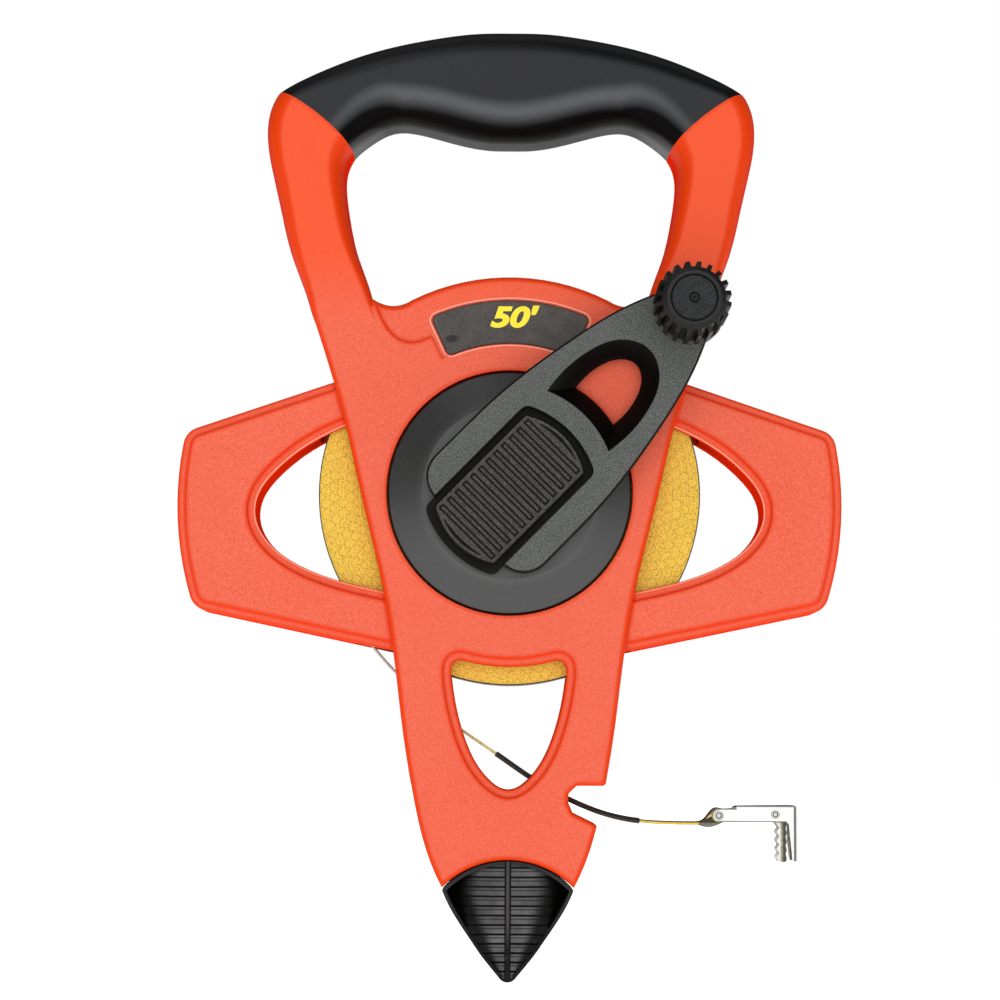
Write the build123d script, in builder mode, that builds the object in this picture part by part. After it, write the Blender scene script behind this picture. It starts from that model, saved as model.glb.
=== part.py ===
from build123d import *

import os
from math import atan2, cos, hypot, radians, sin, tan

# Open-reel surveyor's tape: two-shell frame with a ground spike, grip, reel, crank and end hook.
# The origin is the tip of the ground spike, +Z runs up to the grip and the crank faces -Y.
# Outlines are drawn in the frame's middle plane with the reel axis at (0, 0). A depth is a
# distance in front of that plane, so a negative depth lies behind it.

os.makedirs("parts", exist_ok=True)

# ---- Driving dimensions, mm ----
HUB_HEIGHT = 146.0
TAPE_WIDTH = 13.0
TAPE_THICKNESS = 0.8
PACK_RADIUS = 57.5
DRUM_RADIUS = 36.0
CAVITY_RADIUS = 59.6
CAVITY_DEPTH = 7.4
SHIELD_DEPTH = 12.0
CROWN_DEPTH = 11.3
WING_DEPTH = 9.0
PANEL_STEP = 0.8
RIM_WIDTH = 2.4
WALL = 2.3
HUB_HOLE_RADIUS = 37.0
DISH_RADIUS = 36.6
CRANK_ANGLE = 45.5
CRANK_REACH = 76.2
ARM_BACK = 15.6
ARM_FRONT = 21.6
KNOB_RADIUS = 9.3
KNOB_TOP = 42.8
AXLE_RADIUS = 4.5
PIN_RADIUS = 2.5
SCREW_RADIUS = 1.3
BOSS_RADIUS = 4.8

# ---- Working planes and axes ----
FACE = Plane(origin=(0, 0, HUB_HEIGHT), x_dir=(1, 0, 0), z_dir=(0, -1, 0))
TURNING = Plane(origin=(0, 0, HUB_HEIGHT), x_dir=(0, -1, 0), z_dir=(-1, 0, 0))
MIDDLE = Plane.XZ
HUB_AXIS = Axis((0, 0, HUB_HEIGHT), (0, 1, 0))
ARM_X = (cos(radians(CRANK_ANGLE)), 0, sin(radians(CRANK_ANGLE)))
ARM = Plane(origin=(0, 0, HUB_HEIGHT), x_dir=ARM_X, z_dir=(0, -1, 0))
KNOB_CENTRE = (CRANK_REACH * ARM_X[0], 0, HUB_HEIGHT + CRANK_REACH * ARM_X[2])
KNOB_AXIS = Axis(KNOB_CENTRE, (0, 1, 0))
KNOB_FACE = Plane(origin=KNOB_CENTRE, x_dir=ARM_X, z_dir=(0, -1, 0))
KNOB_TURNING = Plane(origin=KNOB_CENTRE, x_dir=(0, -1, 0), z_dir=(-1, 0, 0))

# ---- Outlines: right-hand points, mirrored to the left ----
SIDE_EDGE = [(60.6, 56.5), (58.9, 51.5), (53.6, 35.0), (49.9, 22.0), (44.0, -3.0), (37.6, -29.7),
             (33.6, -54.8), (31.8, -69.5), (28.4, -90.0), (24.2, -107.0), (19.6, -117.6)]
CREASE = [(40.3, 56.5), (38.0, 51.3), (35.7, 48.1), (32.7, 46.0), (29.7, 45.4), (26.7, 46.0), (23.6, 47.3)]
CROWN_CORNER = [(29.7, 58.5), (35.0, 56.7), (41.6, 58.8)]
CROWN_RADIUS = 65.6
LABEL_INNER, LABEL_OUTER, LABEL_HALF_ANGLE = 45.6, 57.9, 24.0
SPIKE_TOP = -109.5
WINDOW_EDGE = [(38.0, 24.6), (49.8, 20.0), (60.9, 14.2), (70.2, 6.6), (75.6, -1.2), (76.2, -7.2),
               (72.6, -14.6), (63.0, -21.9), (52.0, -26.2), (30.0, -31.6)]
LOWER_WINDOW_TOP = 52.1
LOWER_WINDOW = [(17.3, -54.5), (16.4, -61.0), (12.4, -75.4), (8.8, -82.2), (0.0, -88.7)]
NOTCH = [(34.0, -87.4), (20.4, -87.4), (18.0, -89.6), (17.8, -92.2), (19.2, -95.4),
         (24.2, -97.8), (34.0, -102.6)]
SCREW_POINTS = [(54.3, 66.0), (-54.3, 66.0), (88.0, -6.0), (-88.0, -6.0), (23.5, -74.0),
                (-23.5, -78.0), (0.0, -101.0)]

# ---- Free end of the tape: where it runs, from the pack to the hook ----
TAPE_ROUTE = [(-49.8, -31.0), (-45.6, -39.2), (-39.8, -47.8), (-30.0, -57.8), (-16.4, -69.4),
              (-3.8, -77.8), (7.6, -85.8), (19.5, -92.3), (31.5, -96.8), (44.4, -98.5), (57.0, -98.4)]


LOOP_PIN = (63.0, -96.1)
CLAW_PIN = (79.9, -95.7)


def mirrored(points):
    """The same points on the left, in the opposite order."""
    return [(-x, z) for x, z in reversed(points)]


# ---- Handle: stations (outer point, inner point, half depth, edge round across and deep) ----
HANDLE = [
    ((58.9, 51.5), (39.0, 51.5), 12.0, 1.3, 1.3),
    ((61.0, 57.6), (41.4, 57.9), 12.3, 2.0, 3.2),
    ((65.4, 69.6), (45.0, 68.8), 12.8, 3.0, 6.0),
    ((69.4, 84.0), (48.6, 81.5), 13.3, 4.0, 8.2),
    ((72.6, 98.0), (50.3, 92.5), 13.6, 4.7, 9.0),
    ((74.3, 112.5), (49.9, 100.8), 13.8, 5.4, 9.5),
    ((71.0, 122.6), (47.0, 105.9), 14.0, 6.2, 10.0),
    ((62.1, 127.8), (42.4, 109.6), 14.2, 7.0, 10.0),
    ((48.5, 133.6), (36.8, 112.6), 14.3, 7.6, 10.0),
    ((33.8, 137.9), (30.0, 112.9), 14.4, 8.0, 10.0),
    ((17.2, 140.9), (15.9, 109.4), 14.5, 8.4, 10.0),
    ((0.0, 141.8), (0.0, 107.6), 14.5, 8.6, 10.0),
]
GRIP_WALL = 2.4


def mirrored_station(station):
    """The same handle station on the left."""
    outer, inner, depth, across, deep = station
    return (-outer[0], outer[1]), (-inner[0], inner[1]), depth, across, deep


def handle_bar(stations, inset=0.0):
    """Front half of the handle through the stations, with its skin moved in by inset."""
    with BuildPart() as bar:
        for outer, inner, depth, across, deep in stations:
            run = (inner[0] - outer[0], 0, inner[1] - outer[1])
            width = hypot(run[0], run[2])
            along = Vector(*run).normalized()
            start = Vector(outer[0], 0, outer[1] + HUB_HEIGHT)
            station = Plane(origin=start, x_dir=along, z_dir=along.cross(Vector(0, -1, 0)))
            low, high, top = inset, width - inset, depth - inset
            a = max(across - inset, 0.8)
            b = max(deep - inset, 0.8)
            with BuildSketch(station):
                with BuildLine():
                    Line((low, 0), (low, top - b))
                    EllipticalCenterArc((low + a, top - b), a, b, start_angle=90, arc_size=90)
                    Line((low + a, top), (high - a, top))
                    EllipticalCenterArc((high - a, top - b), a, b, start_angle=0, arc_size=90)
                    Line((high, top - b), (high, 0))
                    Line((high, 0), (low, 0))
                make_face()
        loft()
    return bar.part


def front_edges(part, depth):
    """Edges of the faces that lie flat at this depth and look out of the front."""
    flat = part.faces().filter_by(Axis.Y).filter_by(lambda f: abs(f.center().Y + depth) < 0.01)
    return flat.edges()


def sidestep(points, distance):
    """The points moved to the left of the line that runs through them."""
    moved = []
    for index, (x, z) in enumerate(points):
        before = points[max(index - 1, 0)]
        after = points[min(index + 1, len(points) - 1)]
        run = after[0] - before[0]
        rise = after[1] - before[1]
        length = hypot(run, rise)
        moved.append((x - rise / length * distance, z + run / length * distance))
    return moved


def wing_window_pair(grow):
    """Both wing windows, with their edges moved out by grow."""
    edge = sidestep(WINDOW_EDGE, grow)
    with BuildSketch() as pair:
        with BuildLine():
            Spline(*edge)
            Line(edge[-1], edge[0])
        make_face()
        mirror(about=Plane.YZ)
    return pair.sketch


def lower_window(grow):
    """The window below the reel, with its edge moved out by grow."""
    side = sidestep(LOWER_WINDOW + mirrored(LOWER_WINDOW)[1:], grow)
    top_radius = LOWER_WINDOW_TOP - grow
    corner_x = 17.0 + grow
    corner_z = -(top_radius ** 2 - corner_x ** 2) ** 0.5
    with BuildSketch() as window:
        with BuildLine():
            Spline(*side)
            Line(side[0], (corner_x, corner_z))
            ThreePointArc((corner_x, corner_z), (0, -top_radius), (-corner_x, corner_z))
            Line((-corner_x, corner_z), side[-1])
        make_face()
        fillet(window.vertices().filter_by(lambda v: v.Y > corner_z - 0.5), 2.6 + grow)
    return window.sketch


def label_sector(grow):
    """The label's sector of a ring above the reel, with its edge moved out by grow."""
    inner = LABEL_INNER - grow
    outer = LABEL_OUTER + grow
    half_angle = LABEL_HALF_ANGLE + grow
    with BuildSketch() as sector:
        with BuildLine():
            CenterArc((0, 0), outer, 90 - half_angle, 2 * half_angle)
            CenterArc((0, 0), inner, 90 - half_angle, 2 * half_angle)
            for side in (-1, 1):
                tilt = radians(half_angle) * side
                Line((inner * sin(tilt), inner * cos(tilt)), (outer * sin(tilt), outer * cos(tilt)))
        make_face()
    return sector.sketch


# ---- Flat drawings that several pieces share ----
with BuildSketch() as wing_outline:
    with BuildLine():
        right_top = Line((40.0, 38.0), (97.6, 18.4))
        right_end = ThreePointArc((97.6, 18.4), (99.9, -5.0), (94.6, -34.8))
        right_low = Line((94.6, -34.8), (34.0, -47.6))
        mirror(about=Plane.YZ)
        Line((-40.0, 38.0), (40.0, 38.0))
        Line((-34.0, -47.6), (34.0, -47.6))
    make_face()
    fillet(wing_outline.vertices().filter_by(lambda v: abs(v.X) > 80), 6.0)

with BuildSketch() as shield_outline:
    with BuildLine():
        Spline(*SIDE_EDGE)
        Spline(*mirrored(SIDE_EDGE))
        ThreePointArc(SIDE_EDGE[-1], (0, SPIKE_TOP), mirrored(SIDE_EDGE)[0])
        Spline(*CREASE)
        Spline(*mirrored(CREASE))
        Line(SIDE_EDGE[0], CREASE[0])
        Line(mirrored(SIDE_EDGE)[-1], mirrored(CREASE)[-1])
        Line(CREASE[-1], (20.3, 40.8))
        Line(mirrored(CREASE)[0], (-20.3, 40.8))
        ThreePointArc((20.3, 40.8), (0, LABEL_INNER), (-20.3, 40.8))
    make_face()
    with BuildLine():
        Polyline(*NOTCH, close=True)
    make_face(mode=Mode.SUBTRACT)
    notch_corners = shield_outline.vertices().filter_by(lambda v: v.X > 17 and -100 < v.Y < -86)
    fillet(notch_corners, 1.1)

with BuildSketch() as shield_pocket:
    pocket_side = sidestep(SIDE_EDGE, -WALL)[2:-1]
    pocket_low = pocket_side[-1]
    with BuildLine():
        Spline(*pocket_side)
        Spline(*mirrored(pocket_side))
        Line(pocket_side[0], mirrored(pocket_side)[-1])
        ThreePointArc(pocket_low, (0, SPIKE_TOP + WALL), (-pocket_low[0], pocket_low[1]))
    make_face()
    Circle(HUB_HOLE_RADIUS + 4, mode=Mode.SUBTRACT)
    with Locations((30, -95)):
        Rectangle(29, 20, mode=Mode.SUBTRACT)

with BuildSketch() as tape_channel:
    with BuildLine() as channel_line:
        Polyline(*TAPE_ROUTE)
    trace(line_width=7.0)

with BuildSketch() as bosses:
    with Locations(*SCREW_POINTS):
        Circle(BOSS_RADIUS)

LEFT_HANDLE = [mirrored_station(station) for station in HANDLE[::-1]]
OVER_THE_TOP = HANDLE[5:] + LEFT_HANDLE[1:7]

# Everything between the two seams is grip; the seams bow up toward the outside.
with BuildPart() as grip_zone:
    with BuildSketch(FACE.offset(-2)):
        with BuildLine():
            ThreePointArc((76.5, 125.0), (58.6, 114.9), (45.4, 100.9))
            Line((45.4, 100.9), (-45.4, 100.9))
            ThreePointArc((-45.4, 100.9), (-58.6, 114.9), (-76.5, 125.0))
            Line((-76.5, 125.0), (-76.5, 150.0))
            Line((-76.5, 150.0), (76.5, 150.0))
            Line((76.5, 150.0), (76.5, 125.0))
        make_face()
    extrude(amount=22)

with BuildPart() as shield:
    with BuildSketch(FACE):
        add(shield_outline.sketch)
        add(lower_window(RIM_WIDTH), mode=Mode.SUBTRACT)
    extrude(amount=SHIELD_DEPTH)
    rim_edges = front_edges(shield.part, SHIELD_DEPTH)
    outer_rim = rim_edges.filter_by(
        lambda e: e.center().Z < HUB_HEIGHT + 30 and not (
            abs(e.center().X) < 22 and -93 < e.center().Z - HUB_HEIGHT < -45))
    fillet(outer_rim, 1.2)
    step_edges = front_edges(shield.part, SHIELD_DEPTH)
    fillet(step_edges.filter_by(lambda e: e.center().Z > HUB_HEIGHT + 41
                                and abs(e.center().X) < 37), 0.5)
    step_edges = front_edges(shield.part, SHIELD_DEPTH)
    fillet(step_edges.filter_by(lambda e: abs(e.center().X) < 22
                                and -93 < e.center().Z - HUB_HEIGHT < -45), 0.45)

with BuildPart() as window_rim:
    with BuildSketch(FACE):
        add(lower_window(RIM_WIDTH + 1.0))
        add(lower_window(0), mode=Mode.SUBTRACT)
    extrude(amount=SHIELD_DEPTH - PANEL_STEP)
    fillet(front_edges(window_rim.part, SHIELD_DEPTH - PANEL_STEP), 0.5)

with BuildPart() as crown:
    with BuildSketch(FACE):
        with BuildLine():
            Spline(*CROWN_CORNER)
            Spline(*mirrored(CROWN_CORNER))
            ThreePointArc(CROWN_CORNER[0], (0, CROWN_RADIUS), mirrored(CROWN_CORNER)[-1])
            Polyline(CROWN_CORNER[-1], (48, 58.8), (48, 38), (-48, 38), (-48, 58.8),
                     mirrored(CROWN_CORNER)[0])
        make_face()
    extrude(amount=CROWN_DEPTH)
    crown_edges = front_edges(crown.part, CROWN_DEPTH)
    fillet(crown_edges.filter_by(lambda e: e.center().Z > HUB_HEIGHT + 55
                                 and abs(e.center().X) < 41), 1.6)

with BuildPart() as wings:
    with BuildSketch(FACE):
        add(wing_outline.sketch)
        add(wing_window_pair(0), mode=Mode.SUBTRACT)
    extrude(amount=WING_DEPTH)
    open_edges = front_edges(wings.part, WING_DEPTH).filter_by(lambda e: abs(e.center().X) > 39)
    fillet(open_edges, 0.7)
    with BuildSketch(FACE):
        offset(wing_outline.sketch, amount=-RIM_WIDTH)
        add(wing_window_pair(RIM_WIDTH), mode=Mode.SUBTRACT)
    extrude(amount=WING_DEPTH + PANEL_STEP)
    panel_edges = front_edges(wings.part, WING_DEPTH + PANEL_STEP)
    fillet(panel_edges.filter_by(lambda e: abs(e.center().X) > 39), 0.5)

with BuildPart() as leg:
    add(handle_bar(HANDLE[:9]))
    add(grip_zone.part, mode=Mode.SUBTRACT)

with BuildPart() as leg_hollow:
    add(handle_bar(HANDLE[:6], WALL))

with BuildPart() as grip_core:
    add(handle_bar(OVER_THE_TOP, GRIP_WALL))
    add(grip_zone.part, mode=Mode.INTERSECT)

with BuildPart() as shell:
    add(wings.part)
    add(crown.part)
    add(shield.part)
    add(window_rim.part)
    add(leg.part)
    mirror(leg.part, about=Plane.YZ)
    add(grip_core.part)
    add(leg_hollow.part, mode=Mode.SUBTRACT)
    mirror(leg_hollow.part, about=Plane.YZ, mode=Mode.SUBTRACT)
    with BuildSketch(FACE):
        add(bosses.sketch)
    extrude(amount=CAVITY_DEPTH)
    with BuildSketch(FACE):
        with Locations(*SCREW_POINTS[:2]):
            Circle(BOSS_RADIUS)
    extrude(amount=10.6)
    with BuildSketch(FACE):
        add(shield_pocket.sketch)
        add(lower_window(WALL), mode=Mode.SUBTRACT)
        add(bosses.sketch, mode=Mode.SUBTRACT)
    extrude(amount=SHIELD_DEPTH - WALL, mode=Mode.SUBTRACT)
    with BuildSketch(FACE):
        offset(wing_outline.sketch, amount=-WALL)
        add(wing_window_pair(WALL), mode=Mode.SUBTRACT)
        add(bosses.sketch, mode=Mode.SUBTRACT)
    extrude(amount=WING_DEPTH - WALL, mode=Mode.SUBTRACT)
    with BuildSketch(FACE):
        Circle(CAVITY_RADIUS)
        add(tape_channel.sketch)
    extrude(amount=CAVITY_DEPTH, mode=Mode.SUBTRACT)
    with BuildSketch(FACE):
        with Locations((0, -112)):
            Rectangle(24.2, 14)
        with Locations(SCREW_POINTS[-1]):
            Circle(BOSS_RADIUS, mode=Mode.SUBTRACT)
    extrude(amount=6.6, mode=Mode.SUBTRACT)

with BuildPart() as front_frame:
    add(shell.part)
    with BuildSketch(FACE):
        Circle(HUB_HOLE_RADIUS)
    extrude(amount=SHIELD_DEPTH + 1, mode=Mode.SUBTRACT)
    with BuildSketch(FACE.offset(CROWN_DEPTH - 0.4)) as label_recess:
        add(label_sector(0.8))
        fillet(label_recess.vertices(), 2.0)
    extrude(amount=3, mode=Mode.SUBTRACT)
    with BuildSketch(FACE):
        with Locations(*SCREW_POINTS):
            Circle(SCREW_RADIUS)
    extrude(amount=7.2, mode=Mode.SUBTRACT)
front_frame.part.label = "front_frame"

with BuildPart() as rear_frame:
    mirror(shell.part, about=MIDDLE)
    with BuildSketch(FACE.offset(-CAVITY_DEPTH)):
        Circle(10)
    extrude(amount=2.8)
    with BuildSketch(FACE.offset(-SHIELD_DEPTH)):
        Circle(14)
    extrude(amount=3, mode=Mode.SUBTRACT)
    with BuildSketch(FACE.offset(-SHIELD_DEPTH)):
        Circle(6.5)
        with Locations(*SCREW_POINTS):
            Circle(1.7)
    extrude(amount=SHIELD_DEPTH, mode=Mode.SUBTRACT)
    with BuildSketch(FACE.offset(-16)):
        with Locations(*SCREW_POINTS):
            Circle(3.4)
    extrude(amount=10.2, mode=Mode.SUBTRACT)
    with BuildSketch(FACE.offset(-SHIELD_DEPTH)):
        Circle(33)
        Circle(31.6, mode=Mode.SUBTRACT)
    extrude(amount=0.6, mode=Mode.SUBTRACT)
rear_frame.part.label = "rear_frame"

with BuildPart() as front_grip:
    add(handle_bar(OVER_THE_TOP))
    add(grip_zone.part, mode=Mode.INTERSECT)
    add(handle_bar(OVER_THE_TOP, GRIP_WALL), mode=Mode.SUBTRACT)
front_grip.part.label = "front_grip"

with BuildPart() as rear_grip:
    mirror(front_grip.part, about=MIDDLE)
rear_grip.part.label = "rear_grip"

# ---- Reel: drum, tape, dish and axle ----
with BuildPart() as reel_drum:
    with BuildSketch(TURNING):
        with BuildLine():
            Polyline((-6.5, DRUM_RADIUS), (6.5, DRUM_RADIUS), (6.5, 33.4), (1.5, 33.4), (1.5, 9),
                     (12.8, 9), (12.8, AXLE_RADIUS), (-4.2, AXLE_RADIUS), (-4.2, 9), (-1.5, 9),
                     (-1.5, 33.4), (-6.5, 33.4), close=True)
        make_face()
    revolve(axis=HUB_AXIS)
    with BuildSketch(FACE.offset(-2)):
        with PolarLocations(21, 6):
            Circle(6)
    extrude(amount=4, mode=Mode.SUBTRACT)
    with BuildSketch(FACE.offset(-7)):
        with PolarLocations(34.7, 1, start_angle=200):
            Circle(1.0)
    extrude(amount=14, mode=Mode.SUBTRACT)

with BuildPart() as tape_anchor:
    with BuildSketch(FACE.offset(-6.4)):
        with PolarLocations(34.7, 1, start_angle=200):
            Circle(1.0)
    extrude(amount=12.8)

with BuildPart() as tape_pack:
    with BuildSketch(FACE.offset(-6.4)):
        Circle(PACK_RADIUS)
        Circle(DRUM_RADIUS, mode=Mode.SUBTRACT)
    extrude(amount=12.8)

with BuildPart() as hub_dish:
    with BuildSketch(TURNING):
        with BuildLine():
            Polyline((6.5, 34.6), (6.5, DISH_RADIUS), (11.0, DISH_RADIUS), (11.5, 36.1), (15.0, 26.2),
                     (15.0, AXLE_RADIUS), (12.8, AXLE_RADIUS), (12.8, 25.2), (9.6, 34.6), close=True)
        make_face()
    revolve(axis=HUB_AXIS)

with BuildPart() as axle:
    with BuildSketch(FACE.offset(-10.4)):
        Circle(AXLE_RADIUS)
    extrude(amount=25.4)
    with BuildSketch(ARM.offset(15.0)):
        Rectangle(6.2, 6.2)
    extrude(amount=3.0)
    with BuildSketch(FACE.offset(-9.98)):
        Circle(AXLE_RADIUS + 1)
        Circle(3.8, mode=Mode.SUBTRACT)
    extrude(amount=0.76, mode=Mode.SUBTRACT)
    with BuildSketch(FACE.offset(9.5)):
        Circle(1.6)
    extrude(amount=10, mode=Mode.SUBTRACT)

with BuildPart() as axle_clip:
    with BuildSketch(FACE.offset(-9.95)):
        Circle(7.0)
        Circle(3.8, mode=Mode.SUBTRACT)
        with Locations((0, -5)):
            Rectangle(4.6, 10, mode=Mode.SUBTRACT)
    extrude(amount=0.7)

with BuildPart() as axle_bush:
    with BuildSketch(FACE.offset(-8.95)):
        Circle(6.5)
        Circle(AXLE_RADIUS + 0.05, mode=Mode.SUBTRACT)
    extrude(amount=4.35)

with BuildPart() as rear_cap:
    with BuildSketch(FACE.offset(-12)):
        Circle(13.95)
    extrude(amount=1.1)
    with BuildSketch(FACE.offset(-10.9)):
        Circle(13.95)
        Circle(12.8, mode=Mode.SUBTRACT)
    extrude(amount=1.85)
    with BuildSketch(FACE.offset(-12)):
        Circle(9.6)
        Circle(9.0, mode=Mode.SUBTRACT)
    extrude(amount=0.4, mode=Mode.SUBTRACT)

# ---- Crank: arm with a tapered window, ribbed cover over its screw, and the knob ----
ARM_SIDE = [(4.0, 22.9), (24.0, 22.0), (42.0, 19.3), (60.0, 15.2), (73.0, 10.2)]
WINDOW_FRONT = [(28.8, 12.8), (38.0, 13.5), (46.4, 12.3), (54.5, 8.6), (59.0, 0), (54.5, -8.6),
                (46.4, -12.3), (38.0, -13.5), (28.8, -12.8)]
WINDOW_BACK = [(36.0, 7.9), (41.5, 8.1), (47.0, 7.0), (52.0, 4.0), (53.8, 0), (52.0, -4.0),
               (47.0, -7.0), (41.5, -8.1), (36.0, -7.9)]
COVER_BARS, COVER_PITCH = 12, 3.24


def cover_outline(grow):
    """Long rounded outline of the ribbed cover, with its edge moved out by grow."""
    x = 19.1 + grow
    y = 12.4 + grow
    tip = 22.8 + grow
    with BuildSketch() as outline:
        with BuildLine():
            Line((-x, y), (x, y))
            ThreePointArc((x, y), (tip, 0), (x, -y))
            Line((x, -y), (-x, -y))
            ThreePointArc((-x, -y), (-tip, 0), (-x, y))
        make_face()
        fillet(outline.vertices(), 1.0 + max(grow, -0.6))
    return outline.sketch


with BuildPart() as crank_arm:
    with BuildSketch(ARM.offset(ARM_BACK)) as arm_outline:
        with BuildLine():
            Spline(*ARM_SIDE)
            Spline(*[(u, -v) for u, v in ARM_SIDE])
            ThreePointArc(ARM_SIDE[-1], (CRANK_REACH + 10.7, 0), (ARM_SIDE[-1][0], -ARM_SIDE[-1][1]))
            Polyline(ARM_SIDE[0], (-17.2, 23.0), (-17.2, -23.0), (ARM_SIDE[0][0], -ARM_SIDE[0][1]))
        make_face()
        fillet(arm_outline.vertices().filter_by(lambda v: v.X < -17), 9.0)
    extrude(amount=ARM_FRONT - ARM_BACK)
    fillet(front_edges(crank_arm.part, ARM_FRONT), 0.7)
    with BuildSketch(ARM.offset(ARM_BACK)):
        add(cover_outline(2.1))
    extrude(amount=18 - ARM_BACK)
    with BuildSketch(ARM.offset(ARM_FRONT)):
        with BuildLine():
            Spline(*WINDOW_FRONT)
            ThreePointArc(WINDOW_FRONT[0], (31.5, 0), WINDOW_FRONT[-1])
        make_face()
    with BuildSketch(ARM.offset(ARM_BACK)):
        with BuildLine():
            Spline(*WINDOW_BACK)
            ThreePointArc(WINDOW_BACK[0], (37.0, 0), WINDOW_BACK[-1])
        make_face()
    loft(mode=Mode.SUBTRACT)
    with BuildSketch(ARM.offset(18)):
        add(cover_outline(2.1))
    extrude(amount=6, mode=Mode.SUBTRACT)
    with BuildSketch(ARM.offset(15)):
        Circle(12)
    extrude(amount=0.6)
    with BuildSketch(ARM.offset(15)):
        Rectangle(6.2, 6.2)
    extrude(amount=3, mode=Mode.SUBTRACT)
    with BuildSketch(KNOB_FACE.offset(ARM_FRONT)):
        Circle(9.5)
    extrude(amount=0.7)
    with BuildSketch(KNOB_FACE.offset(ARM_BACK)):
        Circle(4.6)
    extrude(amount=1.0, mode=Mode.SUBTRACT)
    with BuildSketch(KNOB_FACE.offset(ARM_BACK)):
        Circle(PIN_RADIUS)
    extrude(amount=8, mode=Mode.SUBTRACT)

with BuildPart() as crank_washer:
    with BuildSketch(ARM.offset(18)):
        Circle(5.5)
        Circle(1.6, mode=Mode.SUBTRACT)
    extrude(amount=0.5)

with BuildPart() as crank_screw:
    with BuildSketch(ARM.offset(10)):
        Circle(1.6)
    extrude(amount=8.5)
    with BuildSketch(ARM.offset(18.5)):
        Circle(4.0)
    extrude(amount=2.2)
    with BuildSketch(ARM.offset(19.7)):
        Rectangle(4.4, 1.0)
        Rectangle(1.0, 4.4)
    extrude(amount=1.2, mode=Mode.SUBTRACT)

with BuildPart() as crank_cover:
    with BuildSketch(ARM.offset(18)):
        add(cover_outline(0))
    extrude(amount=5)
    fillet(front_edges(crank_cover.part, 23), 0.5)
    with BuildSketch(ARM.offset(22.3)):
        with GridLocations(COVER_PITCH, 1, COVER_BARS, 1):
            Rectangle(1.75, 21.8)
            Rectangle(1.05, 21.1, mode=Mode.SUBTRACT)
        for side in (-1, 1):
            with BuildLine():
                ThreePointArc((side * 19.9, 7.8), (side * 20.7, 0), (side * 19.9, -7.8))
                ThreePointArc((side * 19.9, 7.8), (side * 21.5, 0), (side * 19.9, -7.8))
            make_face()
    extrude(amount=2, mode=Mode.SUBTRACT)
    with BuildSketch(ARM.offset(18)):
        Circle(6.2)
    extrude(amount=3.2, mode=Mode.SUBTRACT)

with BuildPart() as knob_pin:
    with BuildSketch(KNOB_FACE.offset(ARM_BACK)):
        Circle(PIN_RADIUS)
    extrude(amount=25.0)
    with BuildSketch(KNOB_FACE.offset(ARM_BACK)):
        Circle(4.5)
    extrude(amount=1.0)
    with BuildSketch(KNOB_FACE.offset(40.1)):
        Circle(4.4)
    extrude(amount=1.1)

with BuildPart() as crank_knob:
    with BuildSketch(KNOB_FACE.offset(22.6)):
        Circle(KNOB_RADIUS)
    extrude(amount=KNOB_TOP - 22.6)
    with BuildSketch(KNOB_FACE.offset(24.0)):
        with PolarLocations(KNOB_RADIUS + 0.6, 20):
            Rectangle(2.4, 1.35)
    extrude(amount=18.3)
    with BuildSketch(KNOB_TURNING):
        with BuildLine():
            Polyline((KNOB_TOP - 2.6, 12.5), (KNOB_TOP + 1, 12.5), (KNOB_TOP + 1, 7.6), (KNOB_TOP, 8.0),
                     (KNOB_TOP - 0.7, 9.2), (KNOB_TOP - 2.6, 11.1), close=True)
        make_face()
    revolve(axis=KNOB_AXIS, mode=Mode.SUBTRACT)
    with BuildSketch(KNOB_FACE.offset(22.6)):
        Circle(PIN_RADIUS + 0.06)
    extrude(amount=21, mode=Mode.SUBTRACT)
    with BuildSketch(KNOB_FACE.offset(39.8)):
        Circle(7.0)
    extrude(amount=4, mode=Mode.SUBTRACT)

with BuildPart() as knob_cap:
    with BuildSketch(KNOB_FACE.offset(41.6)):
        Circle(7.0)
    extrude(amount=0.6)
    with BuildSketch(KNOB_FACE.offset(42.2)):
        Circle(6.7)
    extrude(amount=0.7)
    fillet(front_edges(knob_cap.part, 42.9), 0.25)
    with BuildSketch(KNOB_FACE.offset(42.3)):
        Circle(1.6)
        Circle(1.0, mode=Mode.SUBTRACT)
    extrude(amount=1, mode=Mode.SUBTRACT)

# ---- Ground spike, screws and capacity label ----
SPIKE_SIDE = [(19.5, -118.3), (17.1, -123.6), (14.2, -128.4), (11.0, -133.2), (7.9, -137.8),
              (5.1, -141.4), (2.35, -144.85)]


def spike_profile(inset):
    """Side view of the spike, depth against height, with its faces moved in by inset."""
    flank = [(11.6, -106.0), (11.2, -120.0), (8.6, -131.0), (5.0, -139.5), (1.6, -146.0)]
    moved = [(depth - inset, z) for depth, z in flank]
    with BuildSketch() as profile:
        with BuildLine():
            Spline(*moved)
            Spline(*mirrored(moved))
            Line(moved[0], mirrored(moved)[-1])
            Line(moved[-1], mirrored(moved)[0])
        make_face()
    return profile.sketch


def spike_core(inset):
    """Rounded body between the spike's edge ribs, with its faces moved in by inset."""
    arch = [(20.0, 3.6), (15.0, 7.4), (9.0, 10.2), (0.0, 11.4), (-9.0, 10.2), (-15.0, 7.4), (-20.0, 3.6)]
    moved = [(x, depth - inset) for x, depth in arch]
    with BuildPart() as core:
        with BuildSketch(Plane.XY):
            with BuildLine():
                Spline(*moved)
                Spline(*[(x, -depth) for x, depth in moved])
                for end in (moved[0], moved[-1]):
                    Line(end, (end[0], -end[1]))
            make_face()
        extrude(amount=45)
        with BuildSketch(TURNING):
            add(spike_profile(inset))
        extrude(amount=24, both=True, mode=Mode.INTERSECT)
    return core.part


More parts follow.
